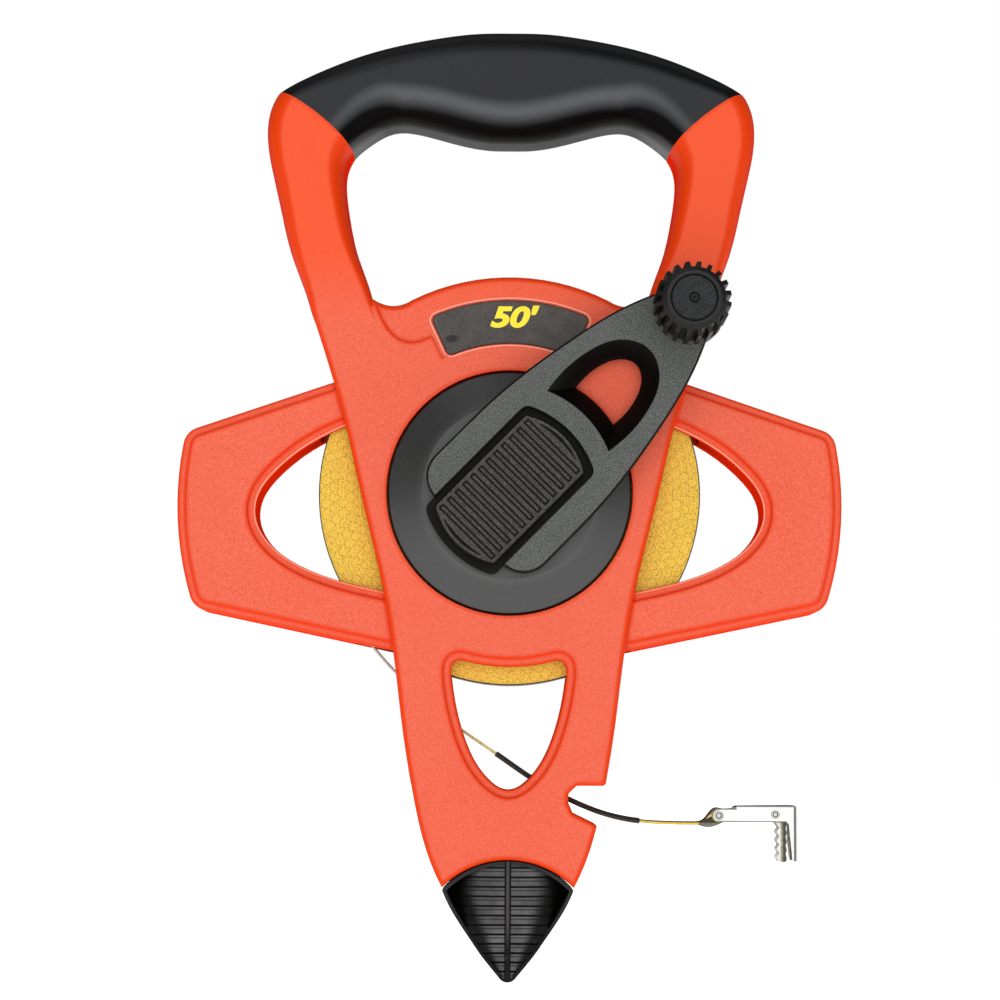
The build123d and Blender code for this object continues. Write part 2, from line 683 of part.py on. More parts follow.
def spike_face(inset):
    """Front view of the spike, with its edge moved in by inset."""
    corner = (SPIKE_SIDE[0][0] - 1.22 * inset, SPIKE_SIDE[0][1] - 0.2 * inset)
    side = [corner] + sidestep(SPIKE_SIDE, -inset)[1:]
    with BuildSketch() as face:
        with BuildLine():
            Spline(*side)
            Spline(*mirrored(side))
            ThreePointArc(side[-1], (0, -146.0 + 1.2 * inset), mirrored(side)[0])
            ThreePointArc(side[0], (0, SPIKE_TOP - 0.3 - inset), mirrored(side)[-1])
        make_face()
    return face.sketch


with BuildPart() as spike_fields:
    with BuildSketch(FACE):
        add(spike_face(1.0))
        Rectangle(1.3, 400, mode=Mode.SUBTRACT)
    extrude(amount=14, both=True)
    add(spike_core(0.9), mode=Mode.SUBTRACT)

with BuildPart() as spike_bars:
    with BuildSketch(FACE):
        with Locations((0, -130.0)):
            with GridLocations(1, 2.82, 1, 13):
                Rectangle(44, 2.2)
    extrude(amount=14, both=True)
    add(spike_core(0.4), mode=Mode.INTERSECT)
    with BuildSketch(FACE):
        add(spike_face(0.8))
    extrude(amount=14, both=True, mode=Mode.INTERSECT)

with BuildPart() as ground_spike:
    with BuildSketch(FACE):
        add(spike_face(0))
    extrude(amount=13, both=True)
    with BuildSketch(TURNING):
        add(spike_profile(0))
    extrude(amount=24, both=True, mode=Mode.INTERSECT)
    add(spike_fields.part, mode=Mode.SUBTRACT)
    add(spike_bars.part)
    with BuildSketch(FACE):
        with Locations((0, -106.25)):
            Rectangle(24, 23.5)
        with Locations(SCREW_POINTS[-1]):
            Circle(BOSS_RADIUS + 0.2, mode=Mode.SUBTRACT)
    extrude(amount=6.5, both=True)

with BuildPart() as frame_screws:
    with BuildSketch(FACE.offset(-7.8)):
        with Locations(*SCREW_POINTS):
            Circle(3.0)
    extrude(amount=2.0)
    with BuildSketch(FACE.offset(-7.8)):
        with Locations(*SCREW_POINTS):
            Rectangle(3.4, 0.8)
            Rectangle(0.8, 3.4)
    extrude(amount=0.8, mode=Mode.SUBTRACT)
    with BuildSketch(FACE.offset(-5.8)):
        with Locations(*SCREW_POINTS):
            Circle(SCREW_RADIUS)
    extrude(amount=12.8)

with BuildPart() as capacity_label:
    with BuildSketch(FACE.offset(CROWN_DEPTH - 0.4)) as label_face:
        add(label_sector(0.4))
        fillet(label_face.vertices(), 1.9)
    extrude(amount=0.35)

# ---- Free end of the tape: straight runs joined by arcs that touch them ----
bend_radii = []
for before, corner, after in zip(TAPE_ROUTE, TAPE_ROUTE[1:], TAPE_ROUTE[2:]):
    run_in = hypot(corner[0] - before[0], corner[1] - before[1])
    run_out = hypot(after[0] - corner[0], after[1] - corner[1])
    turn = abs(atan2(after[1] - corner[1], after[0] - corner[0])
               - atan2(corner[1] - before[1], corner[0] - before[0]))
    bend_radii.append(0.45 * min(run_in, run_out) / tan(turn / 2))
print("bend radii of the free tape, mm:", [round(radius, 1) for radius in bend_radii])


def tape_strip(thickness, half_width):
    """A strip along the free tape's route."""
    with BuildPart() as strip:
        with BuildSketch(FACE):
            with BuildLine():
                FilletPolyline(*TAPE_ROUTE, radius=bend_radii)
            trace(line_width=thickness)
        extrude(amount=half_width, both=True)
    return strip.part


with BuildPart() as free_tape:
    add(tape_strip(TAPE_THICKNESS, TAPE_WIDTH / 2))

with BuildPart() as leader_sleeve:
    add(tape_strip(1.6, TAPE_WIDTH / 2 + 0.3))
    add(tape_strip(TAPE_THICKNESS + 0.02, TAPE_WIDTH / 2 + 0.02), mode=Mode.SUBTRACT)
    with BuildSketch(FACE):
        with Locations((17.8, -90)):
            Rectangle(43.4, 60)
    extrude(amount=10, both=True, mode=Mode.INTERSECT)

with BuildPart() as tape_loop:
    with BuildSketch(FACE):
        with BuildLine():
            Spline((57.01, -97.9), (59.3, -96.9), (60.9, -94.9), (62.2, -93.9))
            Line((62.2, -93.9), (65.0, -97.3))
            Spline((65.0, -97.3), (62.6, -98.9), (60.4, -99.5), (57.01, -98.9))
            Line((57.01, -98.9), (57.01, -97.9))
        make_face()
        with Locations(LOOP_PIN):
            Circle(2.35)
            Circle(1.08, mode=Mode.SUBTRACT)
    extrude(amount=4.9, both=True)

# ---- End hook: folded bracket on the loop pin, with a toothed claw on its own pin ----
with BuildPart() as hook_bracket:
    with BuildSketch(FACE):
        with BuildLine():
            Polyline((63.0, -94.2), (67.6, -94.0), (68.4, -93.2), (86.2, -92.9), (86.2, -109.6),
                     (85.0, -109.6), (83.9, -98.6), (83.4, -98.0), (63.0, -98.0))
            ThreePointArc((63.0, -98.0), (61.1, -96.1), (63.0, -94.2))
        make_face()
    extrude(amount=5.8, both=True)
    fillet(hook_bracket.edges().filter_by(Axis.Y).filter_by(
        lambda e: e.center().X > 86 and e.center().Z > HUB_HEIGHT - 94), 0.9)
    with BuildSketch(FACE):
        with Locations((72.8, -106.8)):
            Rectangle(25.6, 26.4)
    extrude(amount=5.2, both=True, mode=Mode.SUBTRACT)
    with BuildSketch(FACE):
        with Locations(LOOP_PIN):
            Circle(1.0)
        with Locations(CLAW_PIN):
            Circle(0.9)
    extrude(amount=8, both=True, mode=Mode.SUBTRACT)


def rivet(centre, radius, head):
    """Rivet across the hook bracket, with a hollowed head at each end."""
    with BuildPart() as pin:
        with BuildSketch(FACE):
            with Locations(centre):
                Circle(radius)
        extrude(amount=5.8, both=True)
        for front in (5.8, -6.1):
            with BuildSketch(FACE.offset(front)):
                with Locations(centre):
                    Circle(head)
                    Circle(radius * 0.62, mode=Mode.SUBTRACT)
            extrude(amount=0.3)
    return pin.part


with BuildPart() as loop_pin:
    add(rivet(LOOP_PIN, 1.0, 1.35))

with BuildPart() as claw_pin:
    add(rivet(CLAW_PIN, 0.9, 1.25))

with BuildPart() as hook_claw:
    with BuildSketch(FACE):
        with Locations(CLAW_PIN):
            Circle(1.9)
        with BuildLine():
            teeth = [(80.3 + 0.8 * (count % 2), -98.4 - 1.25 * count) for count in range(10)]
            Polyline((79.0, -97.2), (81.4, -95.2), (83.4, -97.0), (83.4, -109.8), (81.0, -109.8),
                     *teeth[::-1], close=True)
        make_face()
        with Locations(CLAW_PIN):
            Circle(0.96, mode=Mode.SUBTRACT)
    extrude(amount=4.6, both=True)
    with BuildSketch(FACE):
        with Locations((77.7, -103)):
            Rectangle(10, 24)
    extrude(amount=3.9, both=True, mode=Mode.SUBTRACT)

NODES = {
    "front_frame": front_frame, "rear_frame": rear_frame, "front_grip": front_grip, "rear_grip": rear_grip,
    "ground_spike": ground_spike, "frame_screws": frame_screws, "capacity_label": capacity_label,
    "axle_bush": axle_bush, "rear_cap": rear_cap, "free_tape": free_tape, "leader_sleeve": leader_sleeve,
    "tape_loop": tape_loop, "reel_drum": reel_drum, "hub_dish": hub_dish, "axle": axle,
    "axle_clip": axle_clip, "tape_pack": tape_pack, "tape_anchor": tape_anchor, "crank_arm": crank_arm,
    "crank_washer": crank_washer, "crank_screw": crank_screw, "crank_cover": crank_cover,
    "knob_pin": knob_pin, "crank_knob": crank_knob, "knob_cap": knob_cap, "hook_bracket": hook_bracket,
    "loop_pin": loop_pin, "claw_pin": claw_pin, "hook_claw": hook_claw,
}
for name, piece in NODES.items():
    piece.part.label = name
    export_step(piece.part, f"parts/{name}.step")
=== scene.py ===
import bpy
import bmesh
from math import cos, pi, radians, sin
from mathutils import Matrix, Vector


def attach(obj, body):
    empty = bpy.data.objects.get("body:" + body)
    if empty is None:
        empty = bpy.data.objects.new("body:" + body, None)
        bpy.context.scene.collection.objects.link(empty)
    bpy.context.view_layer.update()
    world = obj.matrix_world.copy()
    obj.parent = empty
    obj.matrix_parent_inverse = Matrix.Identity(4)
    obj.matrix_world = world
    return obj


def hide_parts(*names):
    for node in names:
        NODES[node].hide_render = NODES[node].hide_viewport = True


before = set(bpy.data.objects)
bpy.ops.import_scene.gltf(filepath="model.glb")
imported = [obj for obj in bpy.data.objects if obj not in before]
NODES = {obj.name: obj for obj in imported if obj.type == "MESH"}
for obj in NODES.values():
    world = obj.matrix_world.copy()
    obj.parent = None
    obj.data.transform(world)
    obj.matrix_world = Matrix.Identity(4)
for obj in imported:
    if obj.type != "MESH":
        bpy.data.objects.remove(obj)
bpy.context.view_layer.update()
MM = 0.001
HUB_Z = 0.146
CRANK_TURN = radians(45.5)

# Places and sizes in millimetres from the hub's axis. Pairs are (x, z), and DOWN and FOOT are below it.
KNOB_REACH = 76.2
KNOB_AT = (KNOB_REACH * cos(CRANK_TURN), KNOB_REACH * sin(CRANK_TURN))
LOOP_PIN_AT = (63.0, -96.1)
CLAW_PIN_AT = (79.9, -95.7)
LABEL_RADIUS = 51.75
LABEL_HALF_HEIGHT = 6.55
LABEL_HALF_LENGTH = 22.0
LABEL_CORNER = 1.9
WINDOW_CENTRE_Z = -3.0
WINDOW_HALF = (84.0, 34.0)
GRIP_WAVE = 33.0
GRIP_CONTOUR = 110.25
GRIP_SWELL = 2.65
SPIKE_SIDE_FOOT = 144.85
SPIKE_SIDE_HEIGHT = 26.55
SPIKE_BAR_DOWN = 130.0
SPIKE_BAR_PITCH = 2.82
SPIKE_ARCH_DOWN = 136.4
TAPE_HALF_WIDTH = 6.5
TAPE_HALF_THICK = 0.40
SLEEVE_HALF_WIDTH = 6.8
SLEEVE_HALF_THICK = 0.78
SLEEVE_START = -3.8
SLEEVE_END = 39.5

# Light levels.
FLOOR_GLOW = 0.86
SIDE_LIGHT = 0.07
ROOM_LIGHT = 0.20
FRONT_LIGHT = 1.62
PANEL_LIGHT = 1.10


def at(x, z, depth=0.0):
    """Point from hub-relative millimetres; depth is towards the crank's side."""
    return Vector((x * MM, -depth * MM, HUB_Z + z * MM))


# ------------------------------------------------------------------ materials
class Mat:
    """A material with short calls for its nodes."""

    def __init__(self, name):
        self.mat = bpy.data.materials.new(name)
        self.mat.use_nodes = True
        self.tree = self.mat.node_tree
        self.bsdf = self.tree.nodes["Principled BSDF"]
        self.coord = self.tree.nodes.new("ShaderNodeTexCoord")

    def node(self, kind, inputs=None, **props):
        made = self.tree.nodes.new(kind)
        for key, value in props.items():
            setattr(made, key, value)
        for key, value in (inputs or {}).items():
            self.put(made, key, value)
        return made

    def put(self, node, key, value):
        socket = node.inputs[key]
        if isinstance(value, bpy.types.NodeSocket):
            self.tree.links.new(value, socket)
        else:
            socket.default_value = value

    def math(self, operation, a, b=0.0):
        return self.node("ShaderNodeMath", {0: a, 1: b}, operation=operation).outputs[0]

    def times(self, a, b):
        return self.math("MULTIPLY", a, b)

    def plus(self, a, b):
        return self.math("ADD", a, b)

    def minus(self, a, b):
        return self.math("SUBTRACT", a, b)

    def larger(self, a, b):
        return self.math("MAXIMUM", a, b)

    def size(self, a):
        """a without its sign."""
        return self.math("ABSOLUTE", a)

    def length(self, a, b):
        """Length of the slanted side over the sides a and b."""
        return self.math("SQRT", self.plus(self.times(a, a), self.times(b, b)))

    def spread(self, fac, low, high, at_low, at_high):
        """at_low where fac is low, at_high where it is high."""
        inputs = {0: fac, 1: low, 2: high, 3: at_low, 4: at_high}
        return self.node("ShaderNodeMapRange", inputs).outputs[0]

    def noise(self, scale, detail=2.0, rough=0.5, distortion=0.0):
        inputs = {"Vector": self.coord.outputs["Object"], "Scale": scale, "Detail": detail,
                  "Roughness": rough, "Distortion": distortion}
        return self.node("ShaderNodeTexNoise", inputs).outputs[0]

    def ramp(self, fac, low, high, smooth=False):
        """0 below low, 1 above high."""
        made = self.node("ShaderNodeMapRange", {0: fac, 1: low, 2: high, 3: 0.0, 4: 1.0}, clamp=True,
                         interpolation_type="SMOOTHSTEP" if smooth else "LINEAR")
        return made.outputs[0]

    def mix(self, fac, a, b):
        made = self.node("ShaderNodeMix", data_type="RGBA")
        for key, value in ((0, fac), (6, a), (7, b)):
            if isinstance(value, tuple):
                value = (*value, 1.0)
            self.put(made, key, value)
        return made.outputs[2]

    def axis(self, name, source="Object"):
        split = self.node("ShaderNodeSeparateXYZ", {0: self.coord.outputs[source]})
        return split.outputs[name]

    def bump(self, height, distance, strength=1.0, normal=None):
        inputs = {"Height": height, "Distance": distance, "Strength": strength}
        if normal is not None:
            inputs["Normal"] = normal
        return self.node("ShaderNodeBump", inputs).outputs[0]

    def finish(self, color=None, roughness=None, normal=None, **fixed):
        for key, value in (("Base Color", color), ("Roughness", roughness), ("Normal", normal)):
            if value is None:
                continue
            if isinstance(value, tuple):
                value = (*value, 1.0)
            self.put(self.bsdf, key, value)
        for key, value in fixed.items():
            self.bsdf.inputs[key.replace("_", " ")].default_value = value
        return self.mat


def srgb(r, g, b):
    """Linear colour from 0-255 display values."""
    return tuple(c / 255 / 12.92 if c <= 10 else ((c / 255 + 0.055) / 1.055) ** 2.4 for c in (r, g, b))


def hub_xz(m):
    """Millimetres to the right of the reel's axis, and above it."""
    return m.times(m.axis("X"), 1000.0), m.times(m.minus(m.axis("Z"), HUB_Z), 1000.0)


def polar(m):
    """Distance from the reel's axis in millimetres, and the angle from straight up."""
    x, z = hub_xz(m)
    return m.length(x, z), m.math("ARCTAN2", x, z)


def away_from(m, place):
    """Distance in millimetres from the line that runs front to back through place."""
    x, z = hub_xz(m)
    return m.length(m.minus(x, place[0]), m.minus(z, place[1]))


def label_edge(m):
    """Distance outside the label's rounded edge in millimetres."""
    r, angle = polar(m)
    across = m.size(m.minus(r, LABEL_RADIUS))
    along = m.times(m.size(angle), LABEL_RADIUS)
    across = m.larger(m.minus(across, LABEL_HALF_HEIGHT - LABEL_CORNER), 0.0)
    along = m.larger(m.minus(along, LABEL_HALF_LENGTH - LABEL_CORNER), 0.0)
    return m.minus(m.length(across, along), LABEL_CORNER)


def facing_front(m, low, high):
    """1 where the surface looks straight out of the front or the back."""
    return m.ramp(m.size(m.axis("Y", "Normal")), low, high, smooth=True)


def depth_mm(m):
    return m.times(m.axis("Y"), -1000.0)


def depth_size(m):
    """Distance from the middle plane, to the front or the back."""
    return m.size(depth_mm(m))


def near_edge(m, radius, low=0.995, high=0.93):
    """1 beside the edges and steps of a surface that looks out of the front."""
    soft = m.node("ShaderNodeBevel", {"Radius": radius * MM}, samples=6)
    split = m.node("ShaderNodeSeparateXYZ", {0: soft.outputs[0]})
    return m.ramp(m.size(split.outputs["Y"]), low, high, smooth=True)


def moulded_orange():
    """Coral on the flat faces, deeper orange on slopes, walls and beside edges: partly a textured versus
    smooth finish, partly painted sheen on the flats and painted shade on the sideways faces, with painted
    highlights along the window rims and round the label.
    """
    m = Mat("orange_shell")
    # Paler coral on flat faces against deeper orange on sideways faces: partly the finish, partly painted
    # sheen and painted shade.
    flat = facing_front(m, 0.93, 0.995)
    # Painted shade in a band beside edges and steps.
    beside = near_edge(m, 1.8, 0.9995, 0.985)
    wall = m.ramp(m.size(m.axis("Y", "Normal")), 0.55, 0.05, smooth=True)
    grain = m.noise(3600.0, 2.0, 0.7)
    pits = m.ramp(m.noise(2900.0, 1.0, 0.5), 0.56, 0.70)
    cloud = m.ramp(m.noise(22.0, 3.0, 0.6), 0.35, 0.7)
    coral = m.mix(cloud, srgb(232, 99, 71), srgb(235, 106, 80))
    coral = m.mix(m.ramp(grain, 0.36, 0.56), m.mix(0.85, coral, srgb(208, 66, 32)), coral)
    coral = m.mix(m.times(pits, 0.45), coral, srgb(246, 134, 110))
    on_legs = m.ramp(m.axis("Z"), HUB_Z + 0.046, HUB_Z + 0.078, smooth=True)
    coral = m.mix(m.times(on_legs, 0.85), coral, srgb(234, 78, 30))
    # Deeper orange on slopes, steps and walls: partly the smoother finish, partly painted shade.
    slope = m.mix(m.ramp(grain, 0.3, 0.7), srgb(216, 54, 4), srgb(226, 64, 8))
    step = m.times(m.ramp(depth_size(m), 9.85, 9.8), m.ramp(depth_size(m), 9.2, 9.3))
    slope = m.mix(step, slope, srgb(224, 58, 8))
    x, z = hub_xz(m)
    x = m.math("DIVIDE", x, WINDOW_HALF[0])
    z = m.math("DIVIDE", m.minus(z, WINDOW_CENTRE_Z), WINDOW_HALF[1])
    windows = m.plus(m.times(x, x), m.times(z, z))
    # Painted highlight on the window rims' fillets.
    lip_highlight = m.times(m.ramp(windows, 1.0, 0.98), m.ramp(depth_size(m), 9.02, 9.0))
    lip_highlight = m.times(lip_highlight, m.ramp(depth_size(m), 8.6, 8.8))
    slope = m.mix(lip_highlight, slope, srgb(255, 150, 122))
    slope = m.mix(wall, slope, srgb(226, 40, 6))
    edge = label_edge(m)
    beside = m.times(beside, m.ramp(edge, 1.8, 2.6))
    coral = m.mix(beside, coral, srgb(222, 60, 10))
    flat = m.larger(flat, m.ramp(edge, 2.6, 2.0))
    color = m.mix(flat, slope, coral)
    # Painted highlight along the label recess's edge.
    away = m.size(m.minus(edge, 0.68))
    front = m.ramp(m.axis("Y"), 0.0, -0.002)
    ring = m.times(m.ramp(away, 0.26, 0.12), front)
    color = m.mix(ring, color, srgb(250, 158, 134))
    rough = m.spread(flat, 0.0, 1.0, 0.34, 0.60)
    fine = m.bump(grain, 0.00010, 0.30)
    normal = m.bump(m.noise(420.0, 2.0, 0.5), 0.0002, 0.08, fine)
    shine = m.spread(flat, 0.0, 1.0, 0.10, 0.28)
    m.put(m.bsdf, "Specular IOR Level", m.times(shine, m.minus(1.0, wall)))
    return m.finish(color, rough, normal)


def grip_rubber():
    """Soft black rubber with a painted highlight along the finger waves, and painted shade just below it, on
    faces that look down and on faces that tilt up.
    """
    m = Mat("grip_rubber")
    grain = m.noise(2200.0, 2.0, 0.6)
    cloud = m.noise(35.0, 3.0, 0.6)
    color = m.mix(m.ramp(cloud, 0.35, 0.7), srgb(20, 21, 24), srgb(29, 30, 33))
    # Painted shade on faces that look down.
    under_shade = m.ramp(m.axis("Z", "Normal"), -0.45, -0.95, smooth=True)
    color = m.mix(m.ramp(grain, 0.55, 0.8), color, srgb(38, 39, 42))
    color = m.mix(under_shade, color, srgb(10, 7, 6))
    x, z = hub_xz(m)
    x = m.size(x)
    swell = m.math("COSINE", m.times(m.math("MINIMUM", x, GRIP_WAVE), pi / GRIP_WAVE))
    past = m.larger(m.minus(x, GRIP_WAVE), 0.0)
    contour = m.minus(GRIP_CONTOUR, m.times(swell, GRIP_SWELL))
    contour = m.minus(contour, m.times(m.times(past, past), 0.037))
    above = m.minus(m.minus(z, contour), m.times(past, 0.3))
    # Painted highlight in a band that follows the finger waves.
    crest_highlight = m.times(m.ramp(above, 4.6, 8.0, smooth=True), m.ramp(above, 12.4, 8.0, smooth=True))
    fade = m.times(m.ramp(x, 34.0, 52.0), 0.5)
    crest_highlight = m.times(crest_highlight, m.minus(0.9, fade))
    color = m.mix(crest_highlight, color, srgb(80, 82, 84))
    # Painted shade in the band just below that highlight.
    hollow_shade = m.times(m.ramp(above, 5.6, 3.0, smooth=True),
                     m.ramp(above, -3.6, -1.0, smooth=True))
    color = m.mix(hollow_shade, color, srgb(7, 6, 6))
    # Painted shade on faces that tilt up.
    top = m.ramp(m.axis("Z", "Normal"), 0.08, 0.55, smooth=True)
    color = m.mix(top, color, srgb(10, 11, 12))
    dull = m.larger(m.larger(under_shade, hollow_shade), m.times(top, 0.8))
    shine = m.minus(0.40, m.times(dull, 0.365))
    m.put(m.bsdf, "Specular IOR Level", shine)
    rough = m.spread(cloud, 0.3, 0.7, 0.34, 0.42)
    return m.finish(color, rough, m.bump(grain, 0.00008, 0.3))


def grained(m, low, high):
    """Dark plastic's colour: slow clouds with a fine grain over them."""
    grain = m.noise(3200.0, 2.0, 0.75)
    cloud = m.ramp(m.noise(40.0, 3.0, 0.6), 0.35, 0.7)
    color = m.mix(cloud, low, high)
    color = m.mix(m.ramp(grain, 0.40, 0.66), color, tuple(2.0 * c + 0.004 for c in high))
    return m.mix(m.ramp(grain, 0.50, 0.34), color, tuple(0.26 * c for c in low)), grain


def dark_plastic(name, low, high, roughness=0.5, grain_strength=0.35):
    m = Mat(name)
    color, grain = grained(m, low, high)
    rough = m.spread(grain, 0.3, 0.7, roughness - 0.05, roughness + 0.07)
    return m.finish(color, rough, m.bump(grain, 0.00008, grain_strength), Specular_IOR_Level=0.4)


def shadowed_plastic(name, low, high, roughness, dark_below, gloss=0.30):
    """Grained plastic whose sides, slopes and sunk floors are smooth, with painted shade making them nearly
    black, and painted shade along its edges.
    """
    m = Mat(name)
    color, grain = grained(m, low, high)
    front = facing_front(m, 0.93, 0.99)
    front = m.times(front, m.ramp(depth_mm(m), dark_below, dark_below + 0.15))
    # Near-black painted shade for sides, slopes and sunk floors.
    shade_black = m.mix(m.ramp(m.noise(120.0, 3.0), 0.35, 0.7), srgb(10, 9, 8), srgb(18, 17, 15))
    color = m.mix(front, shade_black, color)
    # Painted shade beside edges.
    color = m.mix(m.times(near_edge(m, 0.45, 0.998, 0.95), 0.95), color, srgb(9, 8, 7))
    rough = m.spread(front, 0.0, 1.0, gloss, roughness)
    m.put(m.bsdf, "Specular IOR Level", m.spread(front, 0.0, 1.0, 0.10, 0.25))
    return m.finish(color, rough, m.bump(grain, 0.00008, 0.3))


def dish_plastic():
    """Grained plastic: mid grey near the hub, darker further out on the cone."""
    m = Mat("dish_grey")
    cone, grain = grained(m, srgb(11, 12, 11), srgb(17, 18, 17))
    r = m.length(*hub_xz(m))
    middle = m.mix(m.ramp(grain, 0.4, 0.6), srgb(44, 45, 44), srgb(64, 65, 64))
    color = m.mix(m.ramp(r, 29.0, 24.0, smooth=True), cone, middle)
    # Painted shade beside edges and steps.
    color = m.mix(m.times(near_edge(m, 0.4, 0.9, 0.6), 0.8), color, srgb(12, 11, 10))
    rough = m.spread(grain, 0.3, 0.7, 0.32, 0.42)
    return m.finish(color, rough, m.bump(grain, 0.00008, 0.3), Specular_IOR_Level=0.90)


def knob_plastic():
    """Grained knob with a nearly black top face."""
    m = Mat("knob_grey")
    color, grain = grained(m, srgb(26, 26, 26), srgb(36, 36, 36))
    top = m.times(facing_front(m, 0.45, 0.8), m.ramp(depth_mm(m), 40.0, 40.4))
    color = m.mix(top, srgb(10, 9, 8), color)
    # Painted shade beside edges.
    color = m.mix(m.times(near_edge(m, 0.3), 0.7), color, srgb(14, 13, 12))
    return m.finish(color, 0.46, m.bump(grain, 0.00008, 0.3), Specular_IOR_Level=0.2)


def cap_plastic():
    """Cap with painted shade in the groove round it and on the small boss at its middle, leaving a ring."""
    m = Mat("cap_grey")
    color, grain = grained(m, srgb(25, 26, 27), srgb(35, 36, 37))
    r = away_from(m, KNOB_AT)
    # Painted shade in the groove and on the boss round its middle ring.
    groove = m.larger(m.ramp(depth_mm(m), 42.75, 42.55), m.ramp(r, 6.3, 6.4))
    boss = m.times(m.ramp(r, 1.75, 1.55), m.ramp(m.size(m.minus(r, 0.85)), 0.12, 0.28))
    color = m.mix(m.larger(groove, boss), color, srgb(8, 7, 7))
    return m.finish(color, 0.46, m.bump(grain, 0.00008, 0.3), Specular_IOR_Level=0.2)


def spike_plastic():
    """Black plastic whose two ribbed fields carry bars, a rim and a middle rib; the grey of the fields'
    middles and the rib's top is painted light, and their near-black sides and the dark lines beside the bars
    and the rib are painted shade.
    """
    m = Mat("spike_black")
    cloud = m.noise(150.0, 3.0, 0.6)
    scuff = m.ramp(m.noise(500.0, 4.0, 0.7, distortion=1.2), 0.60, 0.72)
    low = m.ramp(m.axis("Z"), 0.020, 0.0)
    x, z = hub_xz(m)
    x = m.size(x)
    rise = m.math("MINIMUM", m.plus(z, SPIKE_SIDE_FOOT), SPIKE_SIDE_HEIGHT)
    bulge = m.times(m.times(rise, m.minus(SPIKE_SIDE_HEIGHT, rise)), 0.0065)
    half_width = m.plus(m.plus(m.times(rise, 0.647), 2.35), bulge)
    share = m.math("DIVIDE", x, half_width)
    # Painted light and shade: the fields are grey in the middle and grow near-black towards their sides.
    side = m.ramp(share, 0.36, 0.68, smooth=True)
    phase = m.math("FRACT", m.plus(m.math("DIVIDE", m.plus(z, SPIKE_BAR_DOWN), SPIKE_BAR_PITCH), 0.5))
    bars = m.mix(m.ramp(cloud, 0.35, 0.7), srgb(70, 70, 71), srgb(98, 98, 99))
    # Painted shade: a thin dark line in each pitch and dark lines beside each bar.
    thin_line = m.ramp(m.size(m.minus(phase, 0.62)), 0.10, 0.04)
    bars = m.mix(m.times(thin_line, 0.8), bars, srgb(30, 30, 30))
    gap = m.ramp(m.size(m.minus(phase, 0.5)), 0.37, 0.41)
    bars = m.mix(gap, bars, srgb(6, 6, 5))
    color = m.mix(side, bars, srgb(5, 5, 4))
    arch = m.length(x, m.plus(z, SPIKE_ARCH_DOWN))
    rim = m.larger(m.ramp(arch, 25.4, 25.55), m.ramp(m.minus(half_width, x), 1.3, 1.15))
    rim_grey = m.mix(m.ramp(z, -133.0, -122.0), srgb(12, 12, 11), srgb(42, 42, 42))
    color = m.mix(rim, color, rim_grey)
    # Painted shade beside the middle rib.
    rib = m.ramp(x, 1.05, 0.9)
    color = m.mix(rib, color, srgb(8, 8, 7))
    # Painted highlight on the rib's top, fading lower down.
    rib_top = m.times(m.ramp(x, 0.5, 0.38), m.ramp(z, -136.0, -128.0))
    color = m.mix(rib_top, color, srgb(62, 62, 62))
    worn = m.times(m.times(scuff, low), 0.6)
    color = m.mix(worn, color, srgb(96, 96, 98))
    rough = m.spread(cloud, 0.3, 0.7, 0.30, 0.42)
    normal = m.bump(m.noise(900.0, 3.0), 0.0001, 0.25)
    return m.finish(color, rough, normal, Specular_IOR_Level=0.12)


def wound_tape():
    """Edges of the wound turns, with a faint scale pattern and a dark outer turn."""
    m = Mat("wound_tape")
    r, angle = polar(m)
    turn = m.node("ShaderNodeTexNoise", {"W": m.times(r, 3.2), "Scale": 1.0, "Detail": 2.0},
                  noise_dimensions="1D").outputs[0]
    bright = m.ramp(turn, 0.25, 0.75)
    specks = m.ramp(m.noise(1900.0, 2.0, 0.6), 0.54, 0.64)
    dirt = m.ramp(m.noise(90.0, 4.0, 0.7), 0.50, 0.80)
    color = m.mix(bright, srgb(230, 184, 52), srgb(242, 206, 84))
    color = m.mix(m.times(specks, 0.7), color, srgb(156, 112, 14))
    color = m.mix(m.times(dirt, 0.25), color, srgb(196, 144, 46))
    row = m.math("DIVIDE", r, 2.4)
    shift = m.math("FRACT", m.times(m.math("FLOOR", row), 0.5))
    column = m.plus(m.times(angle, 16.0), shift)
    across = m.minus(m.math("FRACT", column), 0.5)
    along = m.math("FRACT", row)
    reach = m.math("SQRT", m.plus(m.times(across, across),
                                  m.times(m.times(along, along), 0.45)))
    scale_line = m.ramp(m.size(m.minus(reach, 0.44)), 0.055, 0.02)
    color = m.mix(m.times(scale_line, 0.42), color, srgb(150, 104, 28))
    stitch = m.times(m.ramp(m.math("FRACT", m.times(row, 4.0)), 0.76, 0.92),
                     m.ramp(m.math("FRACT", m.times(angle, 88.0)), 0.50, 0.70))
    color = m.mix(m.times(stitch, 0.75), color, srgb(120, 84, 24))
    rim = m.ramp(r, 57.05, 57.25)
    color = m.mix(rim, color, srgb(28, 24, 16))
    normal = m.bump(turn, 0.0003, 0.4)
    return m.finish(color, 0.50, normal, Specular_IOR_Level=0.3)


